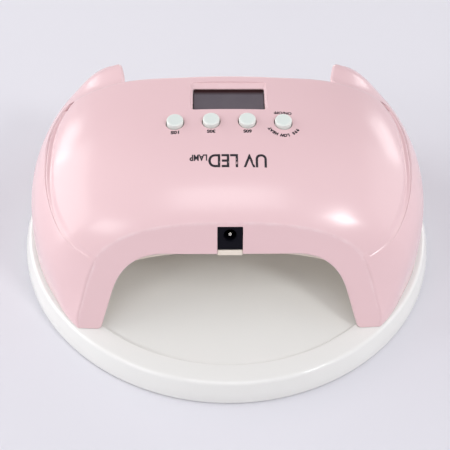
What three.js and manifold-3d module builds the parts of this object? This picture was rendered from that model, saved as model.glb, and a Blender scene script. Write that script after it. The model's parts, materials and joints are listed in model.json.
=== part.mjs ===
// A lamp that cures gel nail polish: a round white base, and a pink hood with a hand tunnel through it.
// Millimetres, +Z up. The origin is on the table under the middle of the base.
// -Y is the user's side, where the hand goes in; +Y is the rear, where the power socket is.
// Left (+X) and right (-X) are as seen from the rear.

import * as THREE from 'three';
import { mergeVertices } from 'three/addons/utils/BufferGeometryUtils.js';
import Module from 'manifold-3d';

const wasm = await Module();
wasm.setup();

// ---------------------------------------------------------------- driving dimensions

const GAP = 0.35;                 // clearance between pieces that meet

const BASE_RADIUS = 110;
const BASE_TOP_RADIUS = 106.8;
const BASE_TOP = 14;              // height of the ring that the hood stands on
const FLOOR_RADIUS = 95.4;
const FLOOR_TOP = 12.2;           // height of the shiny floor inside that ring
const SKIRT_BOTTOM = 0.6;

const BODY_BOTTOM = BASE_TOP + 0.3;
const BODY_RADIUS = 103.7;        // plan radius of the hood's foot line
const TOP_HEIGHT = 91;            // crown of the hood, at its front edge
const CROWN_Y = -28.7;
const REAR_DROP = 23.7;           // fall of the crown line over REAR_RUN, towards the rear
const REAR_RUN = 83.5;
const REAR_POWER = 3.2;
const FRONT_DROP = 0.0075;        // fall of the crown line in front of CROWN_Y, per mm squared
const SIDE_POWER = 2.28;          // the cross-sections are superellipses with these two powers
const HEIGHT_POWER = 3.42;
const REAR_HEIGHT_POWER = 1.6;    // the sides slope more evenly towards the rear face
const REAR_FLARE = 1.7;           // and the foot line spreads a little

const FACE_Y = 76.2;              // both end faces cross the foot height this far from the middle
const FACE_LEAN = 0.42;           // and lean inwards by this much per mm of height
const FACE_BOW = 0.0004;          // and bow outwards in plan

const HOOD_WALL = 2.2;
const HOOD_FRONT = -29.5;         // front edge of the hood's upper skin
const FASCIA_LEAN = 0.75;         // the fascia under that edge runs forward as it goes down
const FASCIA_INSET = 5.6;
const WING_WALL = 1.8;
const WING_EDGE = 0.7;            // wall of a wing where it meets the rear face
const WING_CLEARANCE = 0.95;      // space between a wing and the hood's skin under it
const EAR_REAR = -31.4;
const EAR_INNER_X = 54.5;
const EAR_DIP = 1;
const EAR_REACH = 2.5;            // how far the ears lean out in front of the front face
const RIM_HEIGHT = 63.5;          // upper edge of a wing beside the middle of the hood
const RIM_SLOPE = 0.085;          // and how it falls towards the rear
const RIM_FALL = 0.0026;
const RIM_RISE = 0.011;           // and rises towards the ears, from y = -10 forwards
const GROOVE_HEIGHT = 5.8;        // band between a wing's edge and the crease on the hood
const GROOVE_DEPTH = 3.2;

const LINER_WALL = 1.6;
const LINER_HALF_WIDTH = 88;
const LINER_NARROWING = 23;
const LINER_TOP = 69;
const LINER_REAR_TOP = 53.6;
const LINER_FRONT_TOP = 59;

const PANEL_ORIGIN = [0, 5.4, 89.37];   // the button row, on a panel that tips back
const PANEL_TILT = THREE.MathUtils.degToRad(5);
const BUTTON_X = [26.4, 8.8, -8.8, -26.4];
const BUTTON_RADIUS = 4.1;
const BUTTON_PROUD = 2;
const SLEEVE_BOTTOM = -5.2;       // each button slides in a sleeve under the skin
const DISPLAY_Y = -16.8;          // middle of the display, on the panel
const DISPLAY_SIZE = [35, 14.6];

const JACK_ORIGIN = [0, 56.4, 61.1];
const JACK_TILT = Math.atan(FACE_LEAN);
const JACK_SIZE = 11.9;
const JACK_HOLE_RADIUS = 3;

const MAGNET_RADIUS = 4;
const MAGNET_HEIGHT = 2.4;
const MAGNET_RING = 93.2;
const MAGNET_ANGLES = [12, 168, 192, 348];
const SCREW_ANGLES = [24, 156, 204, 336];
const SCREW_RING = 93.6;
const RAIL_RADIUS = 97.8;
const RAIL_TOP = 19;

const BOARD_TOP = -13.5;          // control board, below the button panel
const BOARD_THICK = 1.6;
const SWITCH_HEIGHT = 3.4;
const LED_RADIUS = 3.2;
const ROOF_LEDS = [[75.7, -16], [104.3, -16]];
const OTHER_LEDS = [
  [38, -36], [36, -6], [38, 22], [142, -36], [144, -6], [142, 22], [74, 16], [106, 16],
];

// ---------------------------------------------------------------- materials

function plastic(color, roughness) {
  return new THREE.MeshStandardMaterial({ color, roughness, metalness: 0 });
}

const PINK = plastic(0xf3c9cd, 0.3);
const WHITE = plastic(0xf4f4f1, 0.28);
const KEY_WHITE = plastic(0xf6f4ea, 0.4);
const BLACK = plastic(0x131317, 0.4);
const SMOKED = plastic(0x2c2a2f, 0.08);
const RUBBER = plastic(0xd9d9d6, 0.85);
const BOARD = plastic(0x2f6b47, 0.55);
const LED_BOARD = plastic(0xe9e9e2, 0.5);
const LENS = plastic(0xe8e2b8, 0.12);
const SENSOR = plastic(0x3a2230, 0.15);
const CABLE = plastic(0xa02a2a, 0.55);
const STEEL = new THREE.MeshStandardMaterial({ color: 0xc9ccd0, roughness: 0.32, metalness: 1 });
const BRASS = new THREE.MeshStandardMaterial({ color: 0xcbb27a, roughness: 0.3, metalness: 1 });

// ---------------------------------------------------------------- solids and booleans

function toSolid(geometry) {
  const bare = geometry.clone();
  bare.deleteAttribute('normal');
  bare.deleteAttribute('uv');
  const merged = mergeVertices(bare, 1e-4);
  const vertProperties = new Float32Array(merged.attributes.position.array);
  const triVerts = new Uint32Array(merged.index.array);
  return new wasm.Manifold(new wasm.Mesh({ numProp: 3, vertProperties, triVerts }));
}

function toGeometry(solid) {
  const mesh = solid.getMesh();
  const geometry = new THREE.BufferGeometry();
  geometry.setAttribute('position', new THREE.BufferAttribute(mesh.vertProperties, 3));
  geometry.setIndex(new THREE.BufferAttribute(mesh.triVerts, 1));
  geometry.computeVertexNormals();
  return geometry;
}

function meshFrom(positions, indices) {
  const geometry = new THREE.BufferGeometry();
  geometry.setAttribute('position', new THREE.Float32BufferAttribute(positions.flat(), 3));
  geometry.setIndex(indices);
  return geometry;
}

function boxSolid(low, high) {
  const size = high.map((value, i) => value - low[i]);
  const box = new THREE.BoxGeometry(...size);
  box.translate(...low.map((value, i) => value + size[i] / 2));
  return box;
}

// A lathe about Z from [radius, height] pairs.
function turned(profile, segments) {
  const points = profile.map(([r, z]) => new THREE.Vector2(r, z));
  const lathe = new THREE.LatheGeometry(points, segments);
  lathe.rotateX(Math.PI / 2);
  return lathe;
}

// A closed ring profile about Z, its last point joined back to its first.
function turnedRing(profile, segments) {
  return turned([...profile, profile[0]], segments);
}

function disc(radius, low, high, segments = 18) {
  return turned([[0, low], [radius, low], [radius, high], [0, high]], segments);
}

function extruded(shape, depth, options = {}) {
  return new THREE.ExtrudeGeometry(shape, { depth, bevelEnabled: false, ...options });
}

const group = new THREE.Group();

function addNode(name, geometry, material, parent = group) {
  const mesh = new THREE.Mesh(geometry, material);
  mesh.name = name;
  parent.add(mesh);
  return mesh;
}

// ---------------------------------------------------------------- the hood's surface

const { lerp, smoothstep, clamp } = THREE.MathUtils;

function crownHeight(y) {
  if (y < CROWN_Y) return TOP_HEIGHT - FRONT_DROP * (CROWN_Y - y) ** 2;
  return TOP_HEIGHT - REAR_DROP * ((y - CROWN_Y) / REAR_RUN) ** REAR_POWER;
}

function heightPower(y) {
  return lerp(HEIGHT_POWER, REAR_HEIGHT_POWER, smoothstep(y, 48, 70));
}

function footRadius(y) {
  return BODY_RADIUS + REAR_FLARE * smoothstep(y, 50, 72);
}

// The point of the outer surface at angle theta, moved inwards by inset.
// Theta is 0 at the left foot, 90 degrees at the crown and 180 degrees at the right foot.
function skinPoint(theta, y, inset) {
  const halfWidth = Math.sqrt((footRadius(y) - inset) ** 2 - y * y);
  const rise = crownHeight(y) - inset - BODY_BOTTOM;
  const c = Math.cos(theta);
  const s = Math.sin(theta);
  const x = Math.sign(c) * halfWidth * Math.abs(c) ** (2 / SIDE_POWER);
  return [x, y, BODY_BOTTOM + rise * s ** (2 / heightPower(y))];
}

function linerTop(y) {
  const rearRise = smoothstep(50 - y, 0, 52) * (LINER_TOP - LINER_REAR_TOP);
  const frontFall = smoothstep(-30 - y, 0, 32) * (LINER_TOP - LINER_FRONT_TOP);
  return LINER_REAR_TOP + rearRise - frontFall;
}

function linerHalfWidth(y) {
  return LINER_HALF_WIDTH - LINER_NARROWING * (y / 71) ** 2;
}

function linerPoint(theta, y, grow) {
  const halfWidth = linerHalfWidth(y) + grow;
  const rise = linerTop(y) + grow - BODY_BOTTOM;
  const c = Math.cos(theta);
  const s = Math.sin(theta);
  const x = Math.sign(c) * halfWidth * Math.abs(c) ** (2 / 2.6);
  return [x, y, BODY_BOTTOM + rise * s ** (2 / 3)];
}

function rearFace(x, z, back = 0) {
  return FACE_Y - back - FACE_BOW * x * x - (z - BODY_BOTTOM) * FACE_LEAN;
}

function frontFace(x, z, back = 0) {
  return -rearFace(x, z, back);
}

function fasciaFace(x, z, back = 0) {
  const slope = HOOD_FRONT + 1 - (TOP_HEIGHT - z) * FASCIA_LEAN;
  return Math.max(slope, frontFace(x, z, 2.4)) + back;
}

function rimHeight(y) {
  const behind = Math.max(0, y);
  const ahead = Math.max(0, -10 - y);
  return RIM_HEIGHT - RIM_SLOPE * behind - RIM_FALL * behind ** 2 + RIM_RISE * ahead ** 2;
}

function creaseHeight(y) {
  return rimHeight(y) + GROOVE_HEIGHT * (1 - 0.2 * smoothstep(y, 0, 40));
}

// Distance of a wing's wall from the rear face sets how thin its end is.
function wingWall(x, y, z) {
  return lerp(WING_EDGE, WING_WALL, smoothstep(rearFace(x, z) - y, 0, 12));
}

// How far the hood's skin dives below the outer surface, under and beside a wing.
function hoodDive(x, y, z) {
  const groove = GROOVE_DEPTH - WING_WALL - WING_CLEARANCE;
  const deep = wingWall(x, y, z) + WING_CLEARANCE + groove * smoothstep(rearFace(x, z) - y, 0, 30);
  const crease = creaseHeight(y);
  const rim = rimHeight(y) + 1.8;
  const t = clamp((crease - z) / (crease - rim), 0, 1);
  return deep * t ** 1.5;
}

// Ears dip where they run under the hood's front edge.
function earDip(y, z) {
  return EAR_DIP * smoothstep(y, EAR_REAR - 17, EAR_REAR) * smoothstep(z, 65, 76);
}

function wingFront(x, z) {
  return frontFace(x, z, -EAR_REACH * smoothstep(z, 62, 78));
}

// A closed solid under a surface that runs over the tunnel from foot to foot.
// place(theta, y, inset) is the surface, inset(x, y, z) its depth, startY and endY its two end faces.
function archSolid({ place, inset, startY, endY, rows, columns, floor = BODY_BOTTOM }) {
  const positions = [];
  const indices = [];
  const width = columns + 3;
  const solve = (theta, u) => {
    let y = lerp(-50, 50, u);
    let depth = 0;
    let point = place(theta, y, depth);
    for (let pass = 0; pass < 12; pass += 1) {
      y = lerp(startY(point[0], point[2]), endY(point[0], point[2]), u);
      depth = inset(point[0], y, point[2]);
      point = place(theta, y, depth);
    }
    return point;
  };
  for (let row = 0; row <= rows; row += 1) {
    const line = [];
    for (let column = 0; column <= columns; column += 1) {
      line.push(solve((Math.PI * column) / columns, row / rows));
    }
    const first = line[0];
    const last = line[columns];
    positions.push([first[0], first[1], floor], ...line, [last[0], last[1], floor]);
  }
  const at = (row, column) => row * width + column;
  for (let row = 0; row < rows; row += 1) {
    for (let column = 0; column < width; column += 1) {
      const next = (column + 1) % width;
      indices.push(at(row, column), at(row + 1, column), at(row + 1, next));
      indices.push(at(row, column), at(row + 1, next), at(row, next));
    }
  }
  const capRings = [0.55, 0];
  const cap = (row, faceY, flip) => {
    let ring = Array.from({ length: width }, (_, column) => at(row, column));
    for (const scale of capRings) {
      const middleZ = 30;
      const made = ring.map((_, column) => {
        const [x, , z] = positions[at(row, column)];
        const px = x * scale;
        const pz = middleZ + (z - middleZ) * scale;
        positions.push([px, faceY(px, pz), pz]);
        return positions.length - 1;
      });
      for (let column = 0; column < width; column += 1) {
        const next = (column + 1) % width;
        const quad = [ring[column], ring[next], made[next], made[column]];
        if (flip) quad.reverse();
        indices.push(quad[0], quad[1], quad[2], quad[0], quad[2], quad[3]);
      }
      ring = made;
    }
  };
  cap(0, startY, false);
  cap(rows, endY, true);
  return toSolid(meshFrom(positions, indices));
}

// A tunnel cutter: the outline of an arched opening, swept along Y.
function tunnel(halfFoot, halfTop, top, corner, startY, endY) {
  const outline = new THREE.Shape();
  outline.moveTo(-halfFoot, 0);
  outline.lineTo(halfFoot, 0);
  outline.lineTo(halfFoot - 1.6, BODY_BOTTOM + 3);
  outline.quadraticCurveTo(halfTop + 4, top - corner - 6, halfTop, top - corner);
  outline.quadraticCurveTo(halfTop - 5.5, top - 1.6, halfTop - 18, top);
  outline.lineTo(-halfTop + 18, top);
  outline.quadraticCurveTo(-halfTop + 5.5, top - 1.6, -halfTop, top - corner);
  outline.quadraticCurveTo(-halfTop - 4, top - corner - 6, -halfFoot + 1.6, BODY_BOTTOM + 3);
  outline.closePath();
  const sweep = extruded(outline, endY - startY, { curveSegments: 8 });
  sweep.rotateX(Math.PI / 2);
  sweep.translate(0, endY, 0);
  return toSolid(sweep);
}

const REAR_OPENING = [63.2, 53, 53.2, 10.5];
const FRONT_OPENING = [66, 58, 58.5, 11];

// ---------------------------------------------------------------- base

function baseTray() {
  const shell = toSolid(turned([
    [0, FLOOR_TOP - 2], [FLOOR_RADIUS - 3, FLOOR_TOP - 2], [FLOOR_RADIUS - 1, BASE_TOP - 2],
    [BASE_TOP_RADIUS - 3, BASE_TOP - 2], [BASE_RADIUS - 3, 4], [BASE_RADIUS - 2.6, SKIRT_BOTTOM],
    [BASE_RADIUS - 0.8, SKIRT_BOTTOM], [BASE_RADIUS, 1.6], [BASE_RADIUS - 0.2, 5],
    [BASE_TOP_RADIUS + 0.9, BASE_TOP - 1], [BASE_TOP_RADIUS - 0.4, BASE_TOP],
    [FLOOR_RADIUS + 0.6, BASE_TOP], [FLOOR_RADIUS, FLOOR_TOP], [0, FLOOR_TOP],
  ], 64));
  let tray = shell;
  for (const angle of MAGNET_ANGLES) {
    const [x, y] = onRing(MAGNET_RING, angle);
    const sleeve = turnedRing([
      [MAGNET_RADIUS + GAP, 6], [MAGNET_RADIUS + 1.6, 6],
      [MAGNET_RADIUS + 1.6, FLOOR_TOP - 1.4], [MAGNET_RADIUS + GAP, FLOOR_TOP - 1.4],
    ], 18);
    tray = tray.add(toSolid(sleeve.translate(x, y, 0)));
  }
  return toGeometry(tray);
}

function onRing(radius, degrees) {
  const angle = THREE.MathUtils.degToRad(degrees);
  return [radius * Math.cos(angle), radius * Math.sin(angle)];
}

addNode('base_tray', baseTray(), WHITE);

addNode('base_bottom_plate', turned([
  [0, 0.9], [BASE_RADIUS - 3.2, 0.9], [BASE_RADIUS - 3.4, 2.4], [0, 2.4],
], 48), WHITE);

[45, 135, 225, 315].forEach((angle, i) => {
  const [x, y] = onRing(86, angle);
  const foot = turned([[0, 0], [6.4, 0], [7, 0.55], [0, 0.55]], 28);
  addNode(`rubber_foot_${i + 1}`, foot, RUBBER).position.set(x, y, 0);
});

MAGNET_ANGLES.forEach((angle, i) => {
  const [x, y] = onRing(MAGNET_RING, angle);
  const low = FLOOR_TOP - 2 - GAP - MAGNET_HEIGHT;
  addNode(`base_magnet_${i + 1}`, disc(MAGNET_RADIUS, low, low + MAGNET_HEIGHT), STEEL)
    .position.set(x, y, 0);
});

// ---------------------------------------------------------------- hood shell

function hoodSkin(extra, reach, floor) {
  return archSolid({
    place: skinPoint,
    inset: (x, y, z) => hoodDive(x, y, z) + extra,
    startY: () => HOOD_FRONT + extra * 0.9,
    endY: (x, z) => rearFace(x, z, reach),
    rows: 15,
    columns: 40,
    floor,
  });
}

function hoodFront(extra, reach, floor) {
  return archSolid({
    place: skinPoint,
    inset: (x, y, z) => lerp(WING_WALL + 2 * GAP, FASCIA_INSET, smoothstep(z, 48, 66)) + extra,
    startY: (x, z) => fasciaFace(x, z, reach),
    endY: () => HOOD_FRONT + 6,
    rows: 3,
    columns: 40,
    floor,
  });
}

function panelFrame() {
  const frame = new THREE.Matrix4().makeRotationX(-PANEL_TILT);
  frame.setPosition(...PANEL_ORIGIN);
  return frame;
}

function jackFrame() {
  const frame = new THREE.Matrix4().makeRotationX(JACK_TILT);
  frame.setPosition(...JACK_ORIGIN);
  return frame;
}

// The four buttons sit on the crown's side slope, so the outer two are a little lower.
function buttonSeat(x) {
  return skinTopAt(x) - PANEL_ORIGIN[2];
}

function skinTopAt(x) {
  const y = PANEL_ORIGIN[1];
  const halfWidth = Math.sqrt(BODY_RADIUS ** 2 - y * y);
  const share = 1 - (Math.abs(x) / halfWidth) ** SIDE_POWER;
  return BODY_BOTTOM + (crownHeight(y) - BODY_BOTTOM) * share ** (1 / HEIGHT_POWER);
}

// A block between a low and a high rectangle, each given as [half width, front y, rear y, z].
function taperedBlock(lowRectangle, highRectangle) {
  const corners = [];
  for (const [w, front, rear, z] of [lowRectangle, highRectangle]) {
    corners.push([-w, front, z], [w, front, z], [w, rear, z], [-w, rear, z]);
  }
  const faces = [
    0, 2, 1, 0, 3, 2, 4, 5, 6, 4, 6, 7, 0, 1, 5, 0, 5, 4,
    1, 2, 6, 1, 6, 5, 2, 3, 7, 2, 7, 6, 3, 0, 4, 3, 4, 7,
  ];
  return meshFrom(corners, faces);
}

function hoodShell() {
  const outer = hoodSkin(0, 0, BODY_BOTTOM).add(hoodFront(0, 0, BODY_BOTTOM));
  const below = BODY_BOTTOM - 6;
  const inner = hoodSkin(HOOD_WALL, HOOD_WALL, below).add(hoodFront(HOOD_WALL, HOOD_WALL, below));
  let shell = outer.subtract(inner);
  const panel = panelFrame();
  const [w, d] = DISPLAY_SIZE;
  const pad = boxSolid([-24, DISPLAY_Y - 13, -5.2], [24, DISPLAY_Y + 10, -1.4]).applyMatrix4(panel);
  shell = shell.add(toSolid(pad).intersect(outer));
  const pocket = taperedBlock(
    [w / 2 + GAP, DISPLAY_Y - d / 2 - GAP, DISPLAY_Y + d / 2 + GAP, -3.9],
    [w / 2 + 1.7, DISPLAY_Y - d / 2 - 5.2, DISPLAY_Y + d / 2 + 1.2, 1.2],
  );
  shell = shell.subtract(toSolid(pocket.applyMatrix4(panel)));
  const through = boxSolid(
    [-w / 2 + 1.2, DISPLAY_Y - d / 2 + 1.2, -8],
    [w / 2 - 1.2, DISPLAY_Y + d / 2 - 1.2, 0],
  );
  shell = shell.subtract(toSolid(through.applyMatrix4(panel)));
  for (const x of [-37, 37]) {
    for (const y of [-21, 15]) {
      const post = disc(2.2, BOARD_TOP + GAP, -1, 14).translate(x, y, 0).applyMatrix4(panel);
      shell = shell.add(toSolid(post).intersect(outer));
    }
  }
  for (const x of BUTTON_X) {
    const sleeve = disc(6.8, SLEEVE_BOTTOM, -1).translate(x, 0, 0).applyMatrix4(panel);
    const hole = disc(BUTTON_RADIUS + GAP, -8, 4, 20).translate(x, 0, 0).applyMatrix4(panel);
    shell = shell.add(toSolid(sleeve).intersect(outer)).subtract(toSolid(hole));
  }
  const half = JACK_SIZE / 2 + GAP;
  const notch = boxSolid([-half, -4, -14], [half, 6, half + 0.1]).applyMatrix4(jackFrame());
  shell = shell.subtract(toSolid(notch));
  shell = shell.subtract(tunnel(...REAR_OPENING, 34, 90));
  shell = shell.subtract(tunnel(...FRONT_OPENING, -90, -34));
  for (const angle of SCREW_ANGLES) {
    const boss = disc(3.4, RAIL_TOP + 0.4, 31, 18);
    const rib = boxSolid([0, -1.2, RAIL_TOP + 0.4], [6, 1.2, 31]);
    const drilled = disc(1.3, 10, 29, 14);
    const post = toSolid(boss).add(toSolid(rib)).subtract(toSolid(drilled));
    shell = shell.add(post.translate([SCREW_RING, 0, 0]).rotate([0, 0, angle]));
  }
  return toGeometry(shell);
}

addNode('hood_shell', hoodShell(), PINK);

// ---------------------------------------------------------------- wings

function wing() {
  const cover = (extra, floor) => archSolid({
    place: skinPoint,
    inset: (x, y, z) => earDip(y, z) + (extra ? wingWall(x, y, z) : 0),
    startY: (x, z) => wingFront(x, z) - 3 * extra,
    endY: (x, z) => rearFace(x, z, -3 * extra),
    rows: 24,
    columns: 40,
    floor,
  });
  const skin = cover(0, BODY_BOTTOM).subtract(cover(1, BODY_BOTTOM - 6));
  const above = new THREE.Shape();
  const steps = 16;
  above.moveTo(EAR_REAR, TOP_HEIGHT + 10);
  for (let i = 0; i <= steps; i += 1) {
    const y = lerp(EAR_REAR, FACE_Y + 4, i / steps);
    above.lineTo(y, rimHeight(y));
  }
  above.lineTo(FACE_Y + 4, TOP_HEIGHT + 10);
  above.closePath();
  const cut = extruded(above, 260);
  cut.rotateX(Math.PI / 2);
  cut.rotateZ(Math.PI / 2);
  cut.translate(-130, 0, 0);
  const middle = boxSolid([-EAR_INNER_X, -120, -10], [120 + EAR_INNER_X, 120, 130]);
  return skin.subtract(toSolid(cut)).subtract(toSolid(middle));
}

const oneWing = wing();
addNode('right_wing', toGeometry(oneWing), PINK);
addNode('left_wing', toGeometry(oneWing.mirror([1, 0, 0])), PINK);

// ---------------------------------------------------------------- liner and its LEDs

// Moves a piece that is drawn around the origin, +Z up, onto the liner's outer surface at (theta, y).
function onLiner(degrees, y) {
  const theta = THREE.MathUtils.degToRad(degrees);
  const step = 0.01;
  const here = new THREE.Vector3(...linerPoint(theta, y, 0));
  const across = new THREE.Vector3(...linerPoint(theta + step, y, 0)).sub(here);
  const along = new THREE.Vector3(...linerPoint(theta, y + step, 0)).sub(here);
  const normal = along.cross(across).normalize();
  const turn = new THREE.Quaternion().setFromUnitVectors(new THREE.Vector3(0, 0, 1), normal);
  return new THREE.Matrix4().compose(here, turn, new THREE.Vector3(1, 1, 1));
}

const LED_PLACES = [...ROOF_LEDS, ...OTHER_LEDS];

// The liner is moulded in two halves, which meet over the middle of the tunnel.
function linerHalf() {
  const cover = (grow, extra, floor) => archSolid({
    place: (theta, y) => linerPoint(theta, y, grow),
    inset: () => 0,
    startY: (x, z) => fasciaFace(x, z, HOOD_WALL + 1 - extra),
    endY: (x, z) => rearFace(x, z, HOOD_WALL + 0.8 - extra),
    rows: 10,
    columns: 28,
    floor,
  });
  let liner = cover(0, 0, BODY_BOTTOM + 0.2).subtract(cover(-LINER_WALL, 3, BODY_BOTTOM - 6));
  for (const [degrees, y] of LED_PLACES) {
    const hole = disc(LED_RADIUS + GAP, -8, 4).applyMatrix4(onLiner(degrees, y));
    liner = liner.subtract(toSolid(hole));
  }
  const sensor = disc(2.6 + GAP, -8, 4).applyMatrix4(onLiner(90, -12));
  const rightSide = boxSolid([-LINER_HALF_WIDTH - 10, -120, 0], [-GAP / 2, 120, TOP_HEIGHT]);
  return liner.subtract(toSolid(sensor)).intersect(toSolid(rightSide));
}

const oneLinerHalf = linerHalf();
addNode('right_liner', toGeometry(oneLinerHalf), WHITE);
addNode('left_liner', toGeometry(oneLinerHalf.mirror([1, 0, 0])), WHITE);

function lens(radius, flange) {
  return turned([
    [0, -LINER_WALL - 1.5], [radius * 0.55, -LINER_WALL - 1.2], [radius * 0.92, -LINER_WALL - 0.4],
    [radius, -LINER_WALL + 0.4], [radius, 0.4], [flange, 0.4], [flange, 1.3], [0, 1.3],
  ], 14);
}

LED_PLACES.forEach(([degrees, y], i) => {
  addNode(`led_lens_${i + 1}`, lens(LED_RADIUS, 4.6).applyMatrix4(onLiner(degrees, y)), LENS);
});

OTHER_LEDS.forEach(([degrees, y], i) => {
  const board = disc(6.4, 1.65, 2.85).applyMatrix4(onLiner(degrees, y));
  addNode(`led_board_${i + 1}`, board, LED_BOARD);
});

const roofBoardLow = LINER_TOP + 2.2;
addNode('roof_led_board', boxSolid([-38, -25, roofBoardLow], [38, -5, roofBoardLow + 1.4]), LED_BOARD);
addNode('hand_sensor', lens(2.6, 3.8).applyMatrix4(onLiner(90, -12)), SENSOR);

// ---------------------------------------------------------------- bottom rails, magnets and screws

function bottomRail(side) {
  const end = 66.5;
  const steps = 14;
  const inner = [];
  const outer = [];
  for (let i = 0; i <= steps; i += 1) {
    const y = lerp(-end, end, i / steps);
    inner.push(new THREE.Vector2(side * (linerHalfWidth(y) + 0.6), y));
    outer.push(new THREE.Vector2(side * Math.sqrt(RAIL_RADIUS ** 2 - y * y), y));
  }
  const outline = new THREE.Shape([...inner, ...outer.reverse()]);
  const slab = extruded(outline, RAIL_TOP - BODY_BOTTOM - 0.2).translate(0, 0, BODY_BOTTOM + 0.2);
  let rail = toSolid(slab);
  for (const angle of MAGNET_ANGLES) {
    const [x, y] = onRing(MAGNET_RING, angle);
    rail = rail.subtract(toSolid(disc(MAGNET_RADIUS + GAP, 10, BODY_BOTTOM + 3.2).translate(x, y, 0)));
  }
  for (const angle of SCREW_ANGLES) {
    const [x, y] = onRing(SCREW_RING, angle);
    const bore = turned([[0, 10], [2.8, 10], [2.8, 16.9], [1.4, 16.9], [1.4, 25], [0, 25]], 16);
    rail = rail.subtract(toSolid(bore.translate(x, y, 0)));
  }
  return toGeometry(rail);
}

addNode('right_bottom_rail', bottomRail(-1), WHITE);
addNode('left_bottom_rail', bottomRail(1), WHITE);

MAGNET_ANGLES.forEach((angle, i) => {
  const [x, y] = onRing(MAGNET_RING, angle);
  const low = BODY_BOTTOM + 0.4;
  addNode(`body_magnet_${i + 1}`, disc(MAGNET_RADIUS, low, low + MAGNET_HEIGHT), STEEL)
    .position.set(x, y, 0);
});

SCREW_ANGLES.forEach((angle, i) => {
  const [x, y] = onRing(SCREW_RING, angle);
  const screw = turned([[0, 15.8], [1, 14.8], [2.4, 15], [2.4, 16.6], [1, 16.6], [1, 28], [0, 28.6]], 14);
  addNode(`rail_screw_${i + 1}`, screw, STEEL).position.set(x, y, 0);
});

// ---------------------------------------------------------------- control panel

const PANEL = new THREE.Group();
PANEL.applyMatrix4(panelFrame());
group.add(PANEL);

const [displayWidth, displayDepth] = DISPLAY_SIZE;
const displayRear = DISPLAY_Y + displayDepth / 2;
const displayFront = DISPLAY_Y - displayDepth / 2;

addNode('display_window', boxSolid(
  [-displayWidth / 2, displayFront, -3.6],
  [displayWidth / 2, displayRear, -2.3],
), SMOKED, PANEL);

addNode('display_module', boxSolid(
  [-displayWidth / 2 + 1.6, displayFront + 1.6, BOARD_TOP + GAP],
  [displayWidth / 2 - 1.6, displayRear - 1.6, -4],
), BLACK, PANEL);

addNode('control_board', boxSolid([-42, -25, BOARD_TOP - BOARD_THICK], [42, 19, BOARD_TOP]), BOARD, PANEL);

const BUTTON_NAMES = ['button_10s', 'button_30s', 'button_60s', 'button_power'];

BUTTON_X.forEach((x, i) => {
  const top = buttonSeat(x) + BUTTON_PROUD;
  const flangeTop = SLEEVE_BOTTOM - GAP;
  const stemLow = BOARD_TOP + SWITCH_HEIGHT + 2;
  const cap = turned([
    [0, stemLow], [2, stemLow], [2, flangeTop - 1.2], [5.4, flangeTop - 1.2], [5.4, flangeTop],
    [BUTTON_RADIUS, flangeTop], [BUTTON_RADIUS, top - 0.8],
    [BUTTON_RADIUS - 0.25, top - 0.25], [BUTTON_RADIUS - 0.8, top], [0, top],
  ], 24);
  addNode(BUTTON_NAMES[i], cap, KEY_WHITE, PANEL).position.set(x, 0, 0);

  const low = BOARD_TOP + GAP;
  const housing = toSolid(boxSolid([-3, -3, low], [3, 3, low + SWITCH_HEIGHT - GAP]));
  const plunger = toSolid(disc(1.7, low + 1, BOARD_TOP + SWITCH_HEIGHT + 1, 16));
  addNode(`key_switch_${i + 1}`, toGeometry(housing.add(plunger)), BLACK, PANEL).position.set(x, 0, 0);
});

// ---------------------------------------------------------------- power socket

const SOCKET = new THREE.Group();
SOCKET.applyMatrix4(jackFrame());
group.add(SOCKET);

const jackHalf = JACK_SIZE / 2;

function jackHousing() {
  const plate = toSolid(boxSolid([-jackHalf, -1.8, -jackHalf], [jackHalf, -0.1, jackHalf]));
  const body = toSolid(boxSolid([-4.5, -9.6, -3], [4.5, -1, jackHalf]));
  const bore = disc(JACK_HOLE_RADIUS, -8.4, 3, 28).rotateX(-Math.PI / 2).translate(0, 0, 1.5);
  return toGeometry(plate.add(body).subtract(toSolid(bore)));
}

addNode('dc_jack_housing', jackHousing(), BLACK, SOCKET);

const pin = turned([[0, 0], [0.9, 0], [0.9, 6.4], [0.5, 7], [0, 7]], 16);
addNode('dc_jack_pin', pin.rotateX(-Math.PI / 2), BRASS, SOCKET).position.set(0, -8.1, 1.5);

addNode('jack_strip', boxSolid([-jackHalf, -1.8, -9.1], [jackHalf, -0.2, -jackHalf - 0.4]), WHITE, SOCKET);

const cablePath = new THREE.CatmullRomCurve3([
  new THREE.Vector3(0, 44.6, 60.4),
  new THREE.Vector3(-5, 38, 66),
  new THREE.Vector3(-13, 31, 72.5),
  new THREE.Vector3(-16, 25.2, 76.4),
]);
const cableSection = new THREE.Shape().absarc(0, 0, 1.2, 0, Math.PI * 2);
addNode('power_harness', new THREE.ExtrudeGeometry(cableSection, {
  steps: 14, curveSegments: 6, extrudePath: cablePath,
}), CABLE);

export default group;
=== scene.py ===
"""A lamp that cures gel nail polish: a pink hood with a hand tunnel, on a round white base."""
import json
import math

import bmesh
import bpy
import numpy as np
from mathutils import Matrix, Vector


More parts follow.
